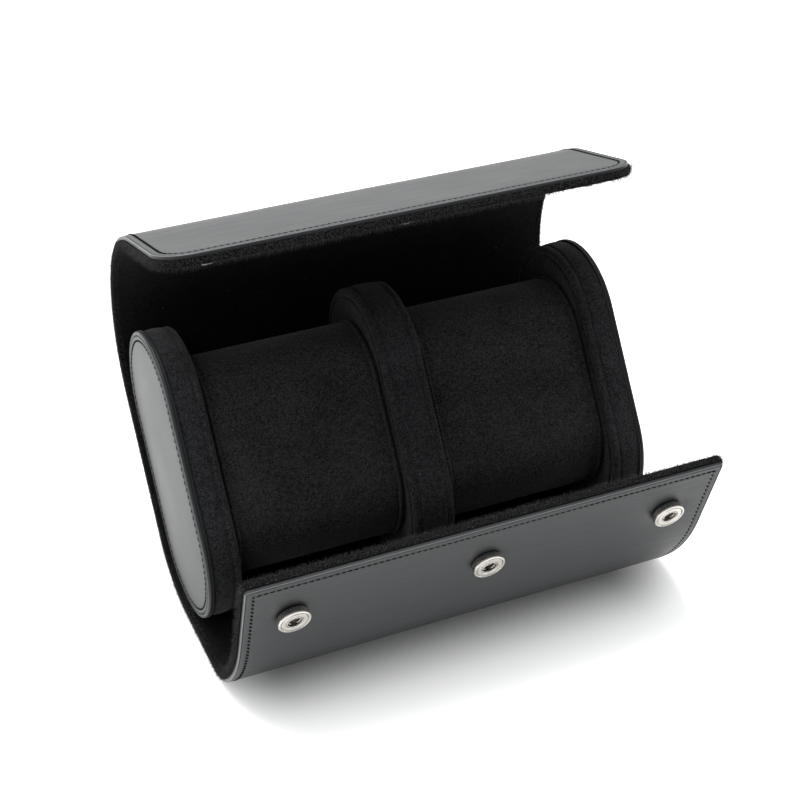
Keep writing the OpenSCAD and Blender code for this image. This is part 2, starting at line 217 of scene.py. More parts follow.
def wrap_sheet(name, start, end, outside, inside, corner_r, inset, material, step=SHEET_STEP):
    """A closed sheet on one piece of the wrap. outside and inside give the depth of its two faces."""
    front_free, top_free = start == FRONT_EDGE, end == TOP_EDGE
    start, end = start + inset * front_free, end - inset * top_free
    half = HALF_LENGTH - inset
    x, along = np.meshgrid(
        lines_between(-half, half, True, True, step),
        lines_between(start, end, front_free, top_free, step),
    )
    from_side = half - np.abs(x)
    from_end = along - start if front_free else end - along if top_free else np.full_like(x, NO_EDGE)
    to_edge = np.minimum(from_side, from_end)
    if front_free or top_free:
        from_side, from_end = rounded_corner(from_side, from_end, corner_r)
        x = np.sign(x) * (half - from_side)
        along = start + from_end if front_free else end - from_end
    rows, columns = x.shape
    points = np.concatenate([
        on_wrap(x, along, face(to_edge, x, along)).reshape(-1, 3) for face in (outside, inside)
    ])
    under = rows * columns
    rim = (
        [(0, j) for j in range(columns)] + [(i, columns - 1) for i in range(1, rows)]
        + [(rows - 1, j) for j in range(columns - 2, -1, -1)] + [(i, 0) for i in range(rows - 2, 0, -1)]
    )
    rim = [i * columns + j for i, j in rim]
    walls = [[a, b, b + under, a + under] for a, b in zip(rim, rim[1:] + rim[:1])]
    faces = quads(rows, columns) + quads(rows, columns, under) + walls
    return mesh_piece(name, points, faces, material, to_edge=np.tile(to_edge.ravel(), 2))


def place_on_wrap(piece, fold, half_width):
    """Bakes a piece of the wrap's place into its mesh. It finds the two ends of its fold, and uses them no
    further.
    """
    ends = [on_wrap(0.0, fold + side * half_width, 0.0) for side in (-1, 1)]
    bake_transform(piece)


class Value:
    """A socket on its way through a node tree. Sums with it add the tree's Math nodes."""

    def __init__(self, tree, socket):
        self.tree, self.socket = tree, socket

    def of(self, name):
        """Another output of the same node."""
        return Value(self.tree, self.socket.node.outputs[name])

    def math(self, operation, first, second=0.0):
        return self.tree.node("ShaderNodeMath", {"operation": operation}, {0: first, 1: second})

    def vector_math(self, operation, second=(0, 0, 0), out="Vector"):
        return self.tree.node("ShaderNodeVectorMath", {"operation": operation}, {0: self, 1: second}, out)

    def __add__(self, other):
        return self.math("ADD", self, other)

    def __sub__(self, other):
        return self.math("SUBTRACT", self, other)

    def __rsub__(self, other):
        return self.math("SUBTRACT", other, self)

    def __mul__(self, other):
        return self.math("MULTIPLY", self, other)

    def __gt__(self, other):
        return self.math("GREATER_THAN", self, other)

    __radd__, __rmul__ = __add__, __mul__


class Tree:
    """A material's or a modifier's node tree while it is being built."""

    def __init__(self, nodes):
        self.nodes = nodes
        nodes.nodes.clear()

    def node(self, kind, settings=(), inputs=(), out=0):
        """Adds a node, and returns its output. inputs are values, or outputs of other nodes."""
        node = self.nodes.nodes.new(kind)
        for name, value in dict(settings).items():
            if name == "stops":
                ramp = node.color_ramp.elements
                for stop, (place, grey) in zip([ramp[0], ramp[1]], value):
                    stop.position, stop.color = place, (grey, grey, grey, 1)
            else:
                setattr(node, name, value)
        for name, value in dict(inputs).items():
            if isinstance(value, Value):
                self.nodes.links.new(value.socket, node.inputs[name])
            else:
                node.inputs[name].default_value = value
        return Value(self, node.outputs[out]) if len(node.outputs) else None

    def noise(self, place, scale, detail=2.0, roughness=0.5):
        """Soft patches from 0 to 1. scale counts them to the metre."""
        return self.node(
            "ShaderNodeTexNoise", {"noise_dimensions": "3D"},
            {"Vector": place, "Scale": scale, "Detail": detail, "Roughness": roughness},
        )

    def mix_colour(self, share, first, second):
        """A colour between two others."""
        first = first if isinstance(first, Value) else (*first, 1)
        return self.node("ShaderNodeMix", {"data_type": "RGBA"}, {0: share, 6: first, 7: (*second, 1)}, 2)

    def bump(self, height, strength, distance):
        """The surface's normals, as a height raises and lowers it."""
        return self.node(
            "ShaderNodeBump", {}, {"Strength": strength, "Distance": distance, "Height": height}, "Normal"
        )

    def band(self, distance, middle, half_width):
        """1 in the middle of a band along an edge, and 0 outside it."""
        away = distance.math("ABSOLUTE", distance - middle)
        return self.node("ShaderNodeClamp", {}, {0: 1.0 - away * (1 / half_width)})


def finish(name, build):
    """A material. build adds its nodes, and returns the sockets of its surface that aren't plain."""
    material = bpy.data.materials.new(name)
    material.use_nodes = True
    tree = Tree(material.node_tree)
    place = tree.node("ShaderNodeTexCoord", out="Object")
    surface = tree.node("ShaderNodeBsdfPrincipled", {}, build(tree, place))
    tree.node("ShaderNodeOutputMaterial", {}, {"Surface": surface})
    return material


def board_finish(tree, place):
    fibres = tree.noise(place, 900.0, 4.0)
    return {
        "Base Color": tree.mix_colour(fibres, (0.22, 0.19, 0.15), (0.42, 0.38, 0.31)),
        "Roughness": 0.9,
        "Normal": tree.bump(fibres, 0.3, 0.1 * MM),
    }


greyboard = finish("greyboard", board_finish)


def board_outside(to_edge, x, along):
    return UNDER_LEATHER + 0 * x


def board_inside(to_edge, x, along):
    return UNDER_LINING + 0 * x


for name, start, end, fold, half_width, body, next_body in PIECES:
    sheet = wrap_sheet(
        f"{name}_board_sheet", start, end, board_outside, board_inside,
        BOARD_CORNER_R.get(name, 0), BOARD_INSET, greyboard, BOARD_STEP,
    )
    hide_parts(*[f"{stretch}_board" for stretch in STRETCHES[name]])
    place_on_wrap(sheet, fold, half_width)

# ---- Outer leather of the wrap ------------------------------------------------------------------
# One sheet of black, finely grained leather from the front flap's edge, under the case and up the
# back to the top flap's edge. It is glued over the board, creased beside its edge, and sewn to the
# lining along a shallow groove.
LEATHER_INSET = 0.5 * MM
EDGE_ROUND = 0.42 * MM
CREASE_INSET, CREASE_WIDTH, CREASE_DEPTH = 1.1 * MM, 0.2 * MM, 0.26 * MM
SEAM_INSET, SEAM_WIDTH, SEAM_DEPTH = 3.4 * MM, 0.35 * MM, 0.2 * MM
WAVE_HEIGHT = 0.07 * MM
LEVEL_EDGE = 9 * MM
STUD_PITCH = 65.7 * MM
SOCKET_ALONG = FRONT_EDGE + 20 * MM
SOCKET_R = 5.45 * MM
DISH_WIDTH, DISH_DEPTH = 2.2 * MM, 0.42 * MM
# The painted highlight on the rim and the painted shade in the creased line, in the leather's colour, from
# its edge: middle and half the width
RIM_PAINTED_HIGHLIGHT = 0.22 * MM, 0.2 * MM
CREASE_PAINTED_SHADE = CREASE_INSET - LEATHER_INSET, 0.24 * MM


def groove(distance, middle, width, depth):
    """Depth of a soft groove that runs along an edge."""
    return depth * np.exp(-((distance - middle) / width) ** 2)


def round_over(distance, radius):
    """Depth of a rounded edge, a quarter circle of that radius."""
    return radius - np.sqrt(np.maximum(radius ** 2 - np.maximum(radius - distance, 0) ** 2, 0))


def slow_waves(to_edge, x, along):
    """The slight unevenness of leather glued by hand. It dies away near the edges."""
    cross = np.sin(x / (17 * MM) + 1.3) * np.sin(along / (13 * MM))
    slanted = np.sin(x / (31 * MM) - along / (23 * MM))
    return WAVE_HEIGHT * (cross + slanted) * np.clip(to_edge / LEVEL_EDGE, 0, 1)


def dish_round_sockets(x, along):
    """The shallow dish that a riveted socket presses into the leather."""
    beside = x - STUD_PITCH * np.clip(np.round(x / STUD_PITCH), -1, 1)
    away = np.hypot(beside, along - SOCKET_ALONG) - SOCKET_R
    return DISH_DEPTH * np.exp(-(np.maximum(away, 0) / DISH_WIDTH) ** 2)


def leather_outside(to_edge, x, along):
    return (
        OUTER_SKIN + round_over(to_edge, EDGE_ROUND)
        + groove(to_edge, CREASE_INSET - LEATHER_INSET, CREASE_WIDTH, CREASE_DEPTH)
        + groove(to_edge, SEAM_INSET - LEATHER_INSET, SEAM_WIDTH, SEAM_DEPTH)
        + slow_waves(to_edge, x, along)
        + dish_round_sockets(x, along)
    )


def leather_inside(to_edge, x, along):
    return UNDER_LEATHER + slow_waves(to_edge, x, along)


def grain(tree, place, scale, crease_width):
    """Fine cells of leather's grain: 0 in the creases between them, and 1 inside."""
    cells = tree.node(
        "ShaderNodeTexVoronoi", {"feature": "DISTANCE_TO_EDGE"}, {"Vector": place, "Scale": scale}
    )
    return tree.node("ShaderNodeValToRGB", {"stops": [(0.0, 0.0), (crease_width, 1.0)]}, {"Fac": cells})


def leather_finish(tree, place):
    """Fine grain, drawn out along the roll. It has a painted highlight on its rim and painted shade along the
    creased line beside it.
    """
    pores = tree.noise(place, 2600.0, 2.0)
    cloudy = tree.noise(place, 45.0, 3.0)
    streaks = tree.noise(place.vector_math("MULTIPLY", (0.07, 1.0, 1.0)), 900.0, 3.0, 0.55)
    height = grain(tree, place, 1500.0, 0.16) * 0.6 + pores * 0.5 + streaks * 4.2
    to_edge = tree.node("ShaderNodeAttribute", {"attribute_name": "to_edge"}, out="Fac")
    # Masks of the painted highlight along the rim and of the painted shade in the creased line
    rim = tree.band(to_edge, *RIM_PAINTED_HIGHLIGHT)
    shaded_crease = tree.band(to_edge, *CREASE_PAINTED_SHADE)
    plain = tree.mix_colour(cloudy, (0.010, 0.0112, 0.012), (0.015, 0.0168, 0.018))
    # Painted highlight: the rim's colour is lightened where its rounded edge would catch the light
    rim_highlighted = tree.mix_colour(rim, plain, (0.16, 0.168, 0.176))
    return {
        # Painted shade: the creased line beside the edge is painted black
        "Base Color": tree.mix_colour(shaded_crease, rim_highlighted, (0.0, 0.0, 0.0)),
        "Roughness": cloudy * 0.10 + pores * 0.08 + streaks * 0.18 + shaded_crease * 0.4 + 0.29,
        "Specular IOR Level": 0.36,
        "Coat Weight": 0.1 - shaded_crease * 0.1,
        "Coat Roughness": 0.3,
        "Normal": tree.bump(height, 0.4, 0.03 * MM),
    }


leather = finish("black_leather", leather_finish)

for name, start, end, fold, half_width, body, next_body in PIECES:
    sheet = wrap_sheet(
        f"{name}_leather_sheet", start, end, leather_outside, leather_inside,
        CORNER_R.get(name, 0) - LEATHER_INSET, LEATHER_INSET, leather,
    )
    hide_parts(*[f"{stretch}_leather" for stretch in STRETCHES[name]])
    end - start
    place_on_wrap(sheet, fold, half_width)

# ---- Suede lining of the wrap -------------------------------------------------------------------
# Black suede cloth with a short, fuzzy pile, glued to the inside of the board and wrapped round its
# edge. It stands a little past the leather all round, where its pile shows as a fringe.
LINING_ROUND = 0.9 * MM
PILE_HEIGHT = 0.06 * MM
GLUE_LINE = 0.03 * MM
BOARD_GAP = 0.2 * MM


def pile_waves(x, along):
    """Small unevenness of the suede's surface."""
    across = np.sin(x / (0.9 * MM) + 3 * np.sin(along / (2.1 * MM)))
    down = np.sin(along / (1.1 * MM) + 2 * np.sin(x / (3.3 * MM)))
    return PILE_HEIGHT * (across * down)


def lining_inside(to_edge, x, along):
    return INNER_SKIN - round_over(to_edge, LINING_ROUND) + pile_waves(x, along)


def lining_outside(to_edge, x, along):
    """It lies on the board, and past the board's edge on the leather."""
    return np.where(to_edge < BOARD_INSET - BOARD_GAP, UNDER_LEATHER + GLUE_LINE, UNDER_LINING)


def suede_finish(low, high, sheen):
    """Short brushed pile: it lies one way here and another there, over a fine grain with lint in it."""
    def build(tree, place):
        brushed = tree.noise(place, 70.0, 3.0, 0.55)
        clumps = tree.noise(place, 800.0, 4.0, 0.7)
        pile = tree.noise(place, 2100.0, 3.0, 0.8)
        shade = brushed * 0.7 + clumps * 1.4 + pile * 4.6 - 2.85
        lint = (tree.noise(place, 900.0, 1.0) > 0.8) * pile
        return {
            "Base Color": tree.mix_colour(lint, tree.mix_colour(shade, low, high), (0.12, 0.12, 0.13)),
            "Roughness": 1.0,
            "Specular IOR Level": 0.08,
            "Sheen Weight": sheen,
            "Sheen Roughness": 0.4,
            "Normal": tree.bump(pile * 0.8 + clumps, 1.0, 0.3 * MM),
        }
    return build


# The lining's suede is painted darker than the same suede on the caps and the pillows, and has less sheen:
# painted shade inside the wrap
suede = finish("lining_suede_painted_shade", suede_finish((0.0005, 0.0005, 0.0005), (0.008, 0.008, 0.0083), 0.03))

for name, start, end, fold, half_width, body, next_body in PIECES:
    sheet = wrap_sheet(
        f"{name}_lining_sheet", start, end, lining_outside, lining_inside, CORNER_R.get(name, 0), 0, suede,
    )
    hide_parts(*[f"{stretch}_lining" for stretch in STRETCHES[name]])
    end - start
    place_on_wrap(sheet, fold, half_width)

# ---- Seams of the wrap --------------------------------------------------------------------------
# Black bonded thread, lock-stitched at 2 mm through leather, board and lining, 3.4 mm from the wrap's
# edge. The thread lies in the groove on the leather side and sinks into the pile inside. Its stitches
# are bold and slanted along the wrap's two sides, and finer along the flaps' edges.
PITCH = 2.05 * MM
THREAD_R = 0.25 * MM
STITCH_LENGTH = 1.95 * MM
STITCH_SLANT = math.radians(42)
STITCH_SINK, STITCH_RISE = 0.9, 2.3  # of a stitch's ends and its middle, in thread radii
STITCH_STEPS = 6  # round a stitch, and along its bow
UNEVEN = 0.06  # radians either way
PILE_SINK = 0.25 * MM
BOLD_WITHIN = 3 * MM
PATH_STEP = 1 * MM
TURN_STEPS = 10
LEAST_R = 0.02 * MM
HALF_PROBE = 0.5 * MM  # half of a short step that finds a direction


def thread_finish(tree, place):
    strands = tree.noise(place, 2400.0, 2.0)
    return {
        "Base Color": tree.mix_colour(strands, (0.001, 0.001, 0.001), (0.006, 0.006, 0.006)),
        "Roughness": 0.8,
        "Specular IOR Level": 0.08,
        "Normal": tree.bump(strands, 0.5, 0.08 * MM),
    }


thread = finish("black_thread", thread_finish)


class Builder(Tree):
    """A Geometry Nodes tree with named inputs, which turns a path or a surface into real pieces."""

    def __init__(self, name, sizes, material):
        group = bpy.data.node_groups.new(name, "GeometryNodeTree")
        group.interface.new_socket("Geometry", in_out="INPUT", socket_type="NodeSocketGeometry")
        group.interface.new_socket("Geometry", in_out="OUTPUT", socket_type="NodeSocketGeometry")
        for size in sizes:
            kind = "NodeSocketInt" if size == "Seed" else "NodeSocketFloat"
            group.interface.new_socket(size, in_out="INPUT", socket_type=kind)
        super().__init__(group)
        self.group, self.material = group, material
        self.given = self.node("NodeGroupInput")

    def vector(self, **parts):
        """A vector from its X, Y and Z, 0 where one isn't given."""
        return self.node("ShaderNodeCombineXYZ", {}, parts)

    def stored(self, name, kind):
        """What keep_on_points has stored."""
        return self.node("GeometryNodeInputNamedAttribute", {"data_type": kind}, {"Name": name})

    def close(self, instances):
        """Ends the tree with real faces in its material."""
        real = self.node("GeometryNodeRealizeInstances", {}, {0: instances})
        dressed = self.node("GeometryNodeSetMaterial", {}, {"Geometry": real, "Material": self.material})
        smooth = self.node("GeometryNodeSetShadeSmooth", {}, {"Geometry": dressed})
        self.node("NodeGroupOutput", {}, {0: smooth})

    def make(self, name, path, sizes):
        """Runs the tree on a path or a surface, and keeps the result as one plain mesh."""
        modifier = path.modifiers.new("make", "NODES")
        modifier.node_group = self.group
        for item in self.group.interface.items_tree:
            if item.item_type == "SOCKET" and item.in_out == "INPUT" and item.name in sizes:
                modifier[item.identifier] = sizes[item.name]
        ready = path.evaluated_get(bpy.context.evaluated_depsgraph_get())
        mesh = bpy.data.meshes.new_from_object(ready)
        path.modifiers.remove(modifier)
        bpy.data.objects.remove(path)
        return add_object(name, mesh)


def seam_builder():
    """Stitches along a path of edges. Each bows out of one hole, and into the next, at a slant."""
    tree = Builder("seam", ["Pitch", "Length", "Thickness", "Slant", "Seed"], thread)
    given = tree.given
    half, thick = given.of("Length") * 0.5, given.of("Thickness")
    path = tree.node("GeometryNodeMeshToCurve", {}, {0: given.of("Geometry")})
    holes = tree.node(
        "GeometryNodeResampleCurve", {"mode": "LENGTH"}, {"Curve": path, "Length": given.of("Pitch")}
    )
    bow = tree.node("GeometryNodeCurveQuadraticBezier", {}, {
        "Resolution": STITCH_STEPS,
        "Start": tree.vector(X=half * -1.0, Z=thick * -STITCH_SINK),
        "Middle": tree.vector(Z=thick * STITCH_RISE),
        "End": tree.vector(X=half, Z=thick * -STITCH_SINK),
    })
    section = tree.node(
        "GeometryNodeCurvePrimitiveCircle", {}, {"Resolution": STITCH_STEPS, "Radius": thick}
    )
    stitch = tree.node(
        "GeometryNodeCurveToMesh", {}, {"Curve": bow, "Profile Curve": section, "Fill Caps": True}
    )
    lie = tree.node("FunctionNodeAxesToRotation", {"primary_axis": "Z", "secondary_axis": "X"}, {
        0: tree.stored("outwards", "FLOAT_VECTOR"), 1: tree.node("GeometryNodeInputTangent"),
    })
    uneven = tree.node(
        "FunctionNodeRandomValue", {"data_type": "FLOAT"},
        {"Min": -UNEVEN, "Max": UNEVEN, "Seed": given.of("Seed")}, 1,
    )
    # A fine stitch lies straight, and is 0.85 as long and 0.8 as thick. A bold one slants.
    bold = tree.stored("bold", "FLOAT")
    slant = tree.node("FunctionNodeAxisAngleToRotation", {}, {"Angle": given.of("Slant") * bold + uneven})
    turned = tree.node("FunctionNodeRotateRotation", {"rotation_space": "LOCAL"}, {0: lie, 1: slant})
    tree.close(tree.node("GeometryNodeInstanceOnPoints", {}, {
        "Points": holes, "Instance": stitch, "Rotation": turned,
        "Scale": tree.vector(X=bold * 0.1 + 0.85, Y=bold * 0.2 + 0.8, Z=bold * 0.2 + 0.8),
    }))
    return tree


seam = seam_builder()


def path_of_edges(runs, outwards, bold=None):
    """An object of loose edges along each run of points, with each point's way out of the surface."""
    mesh = bpy.data.meshes.new("path")
    firsts = np.cumsum([0] + [len(run) for run in runs])
    edges = [(i, i + 1) for a, b in zip(firsts[:-1], firsts[1:]) for i in range(a, b - 1)]
    mesh.from_pydata(np.concatenate(runs).tolist(), edges, [])
    keep_on_points(mesh, "outwards", np.concatenate(outwards))
    keep_on_points(mesh, "bold", np.ones(len(mesh.vertices)) if bold is None else np.concatenate(bold))
    return add_object("path", mesh)


def edge_runs(start, end, inset, corner_r):
    """Runs along a piece's free edges at an inset, as pairs of x and along."""
    half = HALF_LENGTH - inset
    if start != FRONT_EDGE and end != TOP_EDGE:
        places = np.linspace(start, end, max(2, round((end - start) / PATH_STEP)))
        return [(np.full_like(places, side * half), places) for side in (-1, 1)]
    free, cut = (start + inset, end) if start == FRONT_EDGE else (end - inset, start)
    way = math.copysign(1, cut - free)
    radius = max(corner_r - inset, LEAST_R)
    turn = np.linspace(0, math.pi / 2, TURN_STEPS + 1)[1:-1]
    side = np.linspace(cut, free + way * radius, max(2, round((abs(cut - free) - radius) / PATH_STEP)))
    x = np.concatenate([np.full_like(side, half), half - radius * (1 - np.cos(turn))])
    along = np.concatenate([side, free + way * radius * (1 - np.sin(turn))])
    edge = np.linspace(half - radius, -half + radius, round((2 * half - 2 * radius) / PATH_STEP))
    whole = np.concatenate([x, edge, -x[::-1]])
    return [(whole, np.concatenate([along, np.full_like(edge, free), along[::-1]]))]


def way_out(x, along, side):
    """The direction out of the wrap's outer (-1) or inner (1) skin."""
    step = on_wrap(x, along, HALF_PROBE * side) - on_wrap(x, along, -HALF_PROBE * side)
    return step / np.linalg.norm(step, axis=-1, keepdims=True)


for number, (name, start, end, fold, half_width, body, next_body) in enumerate(PIECES):
    runs, outwards, bold = [], [], []
    for depth, side in ((OUTER_SKIN + SEAM_DEPTH, -1), (INNER_SKIN - PILE_SINK, 1)):
        first = start + (0 if start == FRONT_EDGE else PITCH / 2)
        last = end - (0 if end == TOP_EDGE else PITCH / 2)
        for x, along in edge_runs(first, last, SEAM_INSET, CORNER_R.get(name, 0)):
            runs.append(on_wrap(x, along, depth))
            outwards.append(way_out(x, along, side))
            bold.append(np.clip((np.abs(x) - HALF_LENGTH + SEAM_INSET + BOLD_WITHIN) / BOLD_WITHIN, 0, 1))
    stitches = seam.make(f"{name}_seam", path_of_edges(runs, outwards, bold), {
        "Pitch": PITCH, "Length": STITCH_LENGTH, "Thickness": THREAD_R, "Slant": STITCH_SLANT, "Seed": number,
    })
    place_on_wrap(stitches, fold, half_width)

# ---- Press studs --------------------------------------------------------------------------------
# Three ring snaps, nickel-plated. Each socket is a thick flat ring with a rolled rim, riveted through
# the front flap over a concealed steel plate, with a split wire spring in its mouth. Each stud is a
# turned post on a flange, riveted through the top flap.
STUD_ALONG = TOP_EDGE - 8 * MM
STUD_PLACES = (-STUD_PITCH, 0.0, STUD_PITCH)
LATHE_STEPS = 64
SPRING_R, SPRING_UP = 2.2 * MM, 1.55 * MM
SPRING_END_IN = 0.25 * MM
SPRING_HALF_TURN, SPRING_LINES = math.radians(150), 41
WIRE_R, WIRE_SIDES = 0.25 * MM, 10
# Radius and height above the leather, in millimetres, from the barrel outwards and back into the mouth
SOCKET_PROFILE = [
    (1.95, -1.2), (2.9, -1.2), (2.9, 0.0), (5.1, 0.0), (5.28, 0.12), (5.36, 0.5), (5.41, 1.2), (5.44, 1.9),
    (5.42, 2.2), (5.32, 2.42), (5.15, 2.53), (4.9, 2.57), (4.72, 2.56), (4.62, 2.46), (4.56, 2.2),
    (4.46, 2.1), (4.36, 2.2), (4.3, 2.46), (4.2, 2.55), (3.5, 2.58), (3.05, 2.58), (2.94, 2.5),
    (2.88, 2.24), (2.78, 2.14), (2.68, 2.24), (2.62, 2.5), (2.5, 2.58), (2.38, 2.5), (2.34, 2.3),
    (2.32, 2.0), (2.36, 1.8), (2.5, 1.7), (2.5, 0.4), (1.95, 0.3),
]
# The same above the suede, from the barrel over the flange and up the post
STUD_PROFILE = [
    (2.0, -2.8), (2.9, -2.8), (2.9, 0.0), (4.9, 0.0), (5.3, 0.06), (5.44, 0.22), (5.42, 0.42), (5.25, 0.58),
    (4.9, 0.66), (4.0, 0.7), (2.6, 0.7), (2.1, 0.74), (1.82, 0.8), (1.66, 0.9), (1.6, 1.02), (1.62, 1.16),
    (1.74, 1.3), (1.84, 1.42), (1.85, 1.52), (1.76, 1.66), (1.55, 1.75), (1.2, 1.8), (0.9, 1.8), (0.8, 1.72),
    (0.8, 0.4), (2.0, 0.2),
]


def metal_finish(colour, roughness, scale):
    """Metal rubbed by a cloth, and a little duller in spots."""
    def build(tree, place):
        rubbed = tree.noise(place, scale, 4.0, 0.6)
        spots = tree.noise(place, 260.0, 3.0)
        return {
            "Base Color": tree.mix_colour(spots, tuple(0.86 * c for c in colour), colour),
            "Metallic": 1.0,
            "Roughness": rubbed * 0.12 + spots * 0.08 + roughness,
            "Normal": tree.bump(rubbed, 0.12, 0.02 * MM),
        }
    return build


nickel = finish("polished_nickel", metal_finish((0.56, 0.54, 0.50), 0.18, 2100.0))
spring_steel = finish("spring_steel", metal_finish((0.40, 0.38, 0.35), 0.2, 3000.0))
plain_steel = finish("plain_steel", metal_finish((0.55, 0.55, 0.54), 0.35, 1500.0))


def at_stud(x, along, side):
    """A frame on the wrap at a stud: its place, the way along the wrap and the way out of its skin."""
    out = way_out(x, along, side)
    place = on_wrap(x, along, side * WRAP / 2)
    up = on_wrap(x, along + HALF_PROBE, 0) - on_wrap(x, along - HALF_PROBE, 0)
    return place, up / np.linalg.norm(up), out


def tube_faces(corner):
    """The faces between rows of points, each row closed on itself."""
    near = np.roll(corner, -1, 1)
    return np.stack([corner[:-1], corner[1:], near[1:], near[:-1]], -1).reshape(-1, 4).tolist()


def turned(name, profile, along, side, material):
    """Pieces turned on a lathe, one at each stud. The profile is a closed line of (radius, height)."""
    radius, height = (np.array(profile) * MM).T[..., None]
    angle = np.linspace(0, 2 * math.pi, LATHE_STEPS, endpoint=False)[:, None, None]
    points, faces = [], []
    for x in STUD_PLACES:
        place, up, out = at_stud(x, along, side)
        ring = np.cos(angle) * np.array([1.0, 0, 0]) + np.sin(angle) * up
        points.append((place + ring * radius + out * height).reshape(-1, 3))
        corner = np.arange(len(points[-1])).reshape(LATHE_STEPS, -1) + (len(points) - 1) * len(points[-1])
        faces += tube_faces(np.vstack([corner, corner[:1]]))
    return mesh_piece(name, np.concatenate(points), faces, material, sharp=30)


sockets = turned("ring_snap_sockets", SOCKET_PROFILE, SOCKET_ALONG, -1, nickel)
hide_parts("snap_sockets")
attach(sockets, "front_flap_tip")

studs = turned("ring_snap_studs", STUD_PROFILE, STUD_ALONG, 1, nickel)
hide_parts("snap_studs")
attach(studs, "top_flap_tip")


def split_springs():
    """A split ring of round wire in each socket's mouth, its two ends turned a little inwards."""
    points, faces = [], []
    turn = np.linspace(-SPRING_HALF_TURN, SPRING_HALF_TURN, SPRING_LINES)[:, None]
    radius = SPRING_R - SPRING_END_IN * (np.abs(turn) / SPRING_HALF_TURN) ** 8
    angle = np.linspace(0, 2 * math.pi, WIRE_SIDES, endpoint=False)[:, None]
    for x in STUD_PLACES:
        place, up, out = at_stud(x, SOCKET_ALONG, -1)
        across = np.sin(turn) * np.array([1.0, 0, 0]) - np.cos(turn) * up
        middle = place + radius * across + SPRING_UP * out
        wire = middle[:, None] + WIRE_R * (np.cos(angle) * across[:, None] + np.sin(angle) * out)
        first = sum(len(p) for p in points)
        corner = first + np.arange(SPRING_LINES * WIRE_SIDES).reshape(SPRING_LINES, WIRE_SIDES)
        faces += tube_faces(corner)
        for row, pole in ((corner[0], corner[-1, -1] + 1), (corner[-1], corner[-1, -1] + 2)):
            faces += [[a, b, pole] for a, b in zip(row, np.roll(row, -1))]
        points += [wire.reshape(-1, 3), middle[[0, -1]]]
    return mesh_piece("split_springs", np.concatenate(points), faces, spring_steel, sharp=60)


springs = split_springs()
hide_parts("socket_springs")
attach(springs, "front_flap_tip")


def dress(node, material):
    """Gives a CAD node that keeps its shape its finish."""
    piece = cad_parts[node]
    piece.data.materials.clear()
    piece.data.materials.append(material)


for node in ("socket_plates", "stud_plates"):
    dress(node, plain_steel)

# ---- Stiff ovals, rings and foam of the caps and the divider ------------------------------------
# Each end cap is an oval of grey board with a card ring round a block of soft foam, and the divider is
# an oval of the same foam. They are covered all over, and only the pieces round them are seen.
LEAN_COS, LEAN_SIN = math.cos(LEAN), math.sin(LEAN)
MIDDLE_Y = LOWEST_Y + CAP_HALF_STRAIGHT * LEAN_SIN
MIDDLE_Z = CAP_R + CLEARANCE + WRAP + CAP_HALF_STRAIGHT * LEAN_COS


def foam_finish(tree, place):
    pores = tree.node("ShaderNodeTexVoronoi", {"feature": "F1"}, {"Vector": place, "Scale": 1300.0})
    return {
        "Base Color": tree.mix_colour(pores, (0.07, 0.07, 0.07), (0.16, 0.16, 0.16)),
        "Roughness": 0.95,
        "Normal": tree.bump(pores, 0.6, 0.3 * MM),
    }


foam = finish("soft_foam", foam_finish)
for side in ("left", "right"):
    dress(f"{side}_cap_board", greyboard)
    dress(f"{side}_cap_ring", greyboard)
    dress(f"{side}_cap_foam", foam)
dress("divider_core", foam)


def in_case(x, back, up):
    """Points from places in the leaning frame of the caps' middle."""
    x, back, up = np.broadcast_arrays(x, back, up)
    y = MIDDLE_Y + back * LEAN_COS + up * LEAN_SIN
    z = MIDDLE_Z - back * LEAN_SIN + up * LEAN_COS
    return np.stack([x, y, z], axis=-1)


# Round an oval: the middle line's height, as a share of its half, and the way outwards
ARC = np.linspace(0, math.pi, 57)
RUN = np.linspace(-1, 1, 32)[1:-1]
TRACK_UP = np.concatenate([np.ones_like(ARC), -RUN, -np.ones_like(ARC), RUN])
TRACK_TURN = np.concatenate([
    ARC, np.full_like(RUN, math.pi), math.pi + ARC, np.full_like(RUN, 2 * math.pi)
])
WAY_BACK, WAY_UP = np.cos(TRACK_TURN), np.sin(TRACK_TURN)


def oval(x, inset, radius, half_straight, back=0.0):
    """One ring of points round an oval, set in from its outline."""
    across = np.maximum(radius - inset, 0)
    return in_case(x, back + across * WAY_BACK, half_straight * TRACK_UP + across * WAY_UP)


def cap_oval(x, inset):
    """The same round a cap or the divider."""
    return oval(x, inset, CAP_R, CAP_HALF_STRAIGHT)


def closed_loft(name, rings, material, sharp=40):
    """A closed piece through rings of points, whose first and last rings have no width."""
    corner = np.arange(len(rings) * len(rings[0])).reshape(len(rings), -1)
    return mesh_piece(name, np.concatenate(rings), tube_faces(corner), material, sharp)


def crowned(height, last, foot, count=12):
    """Insets and depths from a face's middle outwards. It crowns by a height, and is level at its foot."""
    return [
        (inset, -height * (1 - ((CAP_R - inset) / (CAP_R - foot)) ** 2))
        for inset in np.linspace(CAP_R, last, count)
    ]


# ---- Leather panels of the end caps -------------------------------------------------------------
# Smooth black leather, drawn over the oval board with its edge rolled over a second ply. A row of fine
# stitches runs 3.3 mm inside the edge, and the panel crowns a little inside it.
CAP_INSET = 1.6 * MM
CAP_OUT = HALF_LENGTH - CAP_INSET
CAP_THICKNESS = 12 * MM
CAP_IN = CAP_OUT - CAP_THICKNESS
PANEL_CROWN, PANEL_SUNK = 0.55 * MM, 0.04 * MM
PANEL_BACK = 1.98 * MM
CAP_SEAM_INSET, CAP_SEAM_DEPTH = 3.3 * MM, 0.22 * MM
FINE_PITCH, FINE_LENGTH = 2.3 * MM, 1.8 * MM
FINE_THREAD_R = 0.27 * MM
FINE_SLANT = math.radians(6)
PANEL_SEED = 20
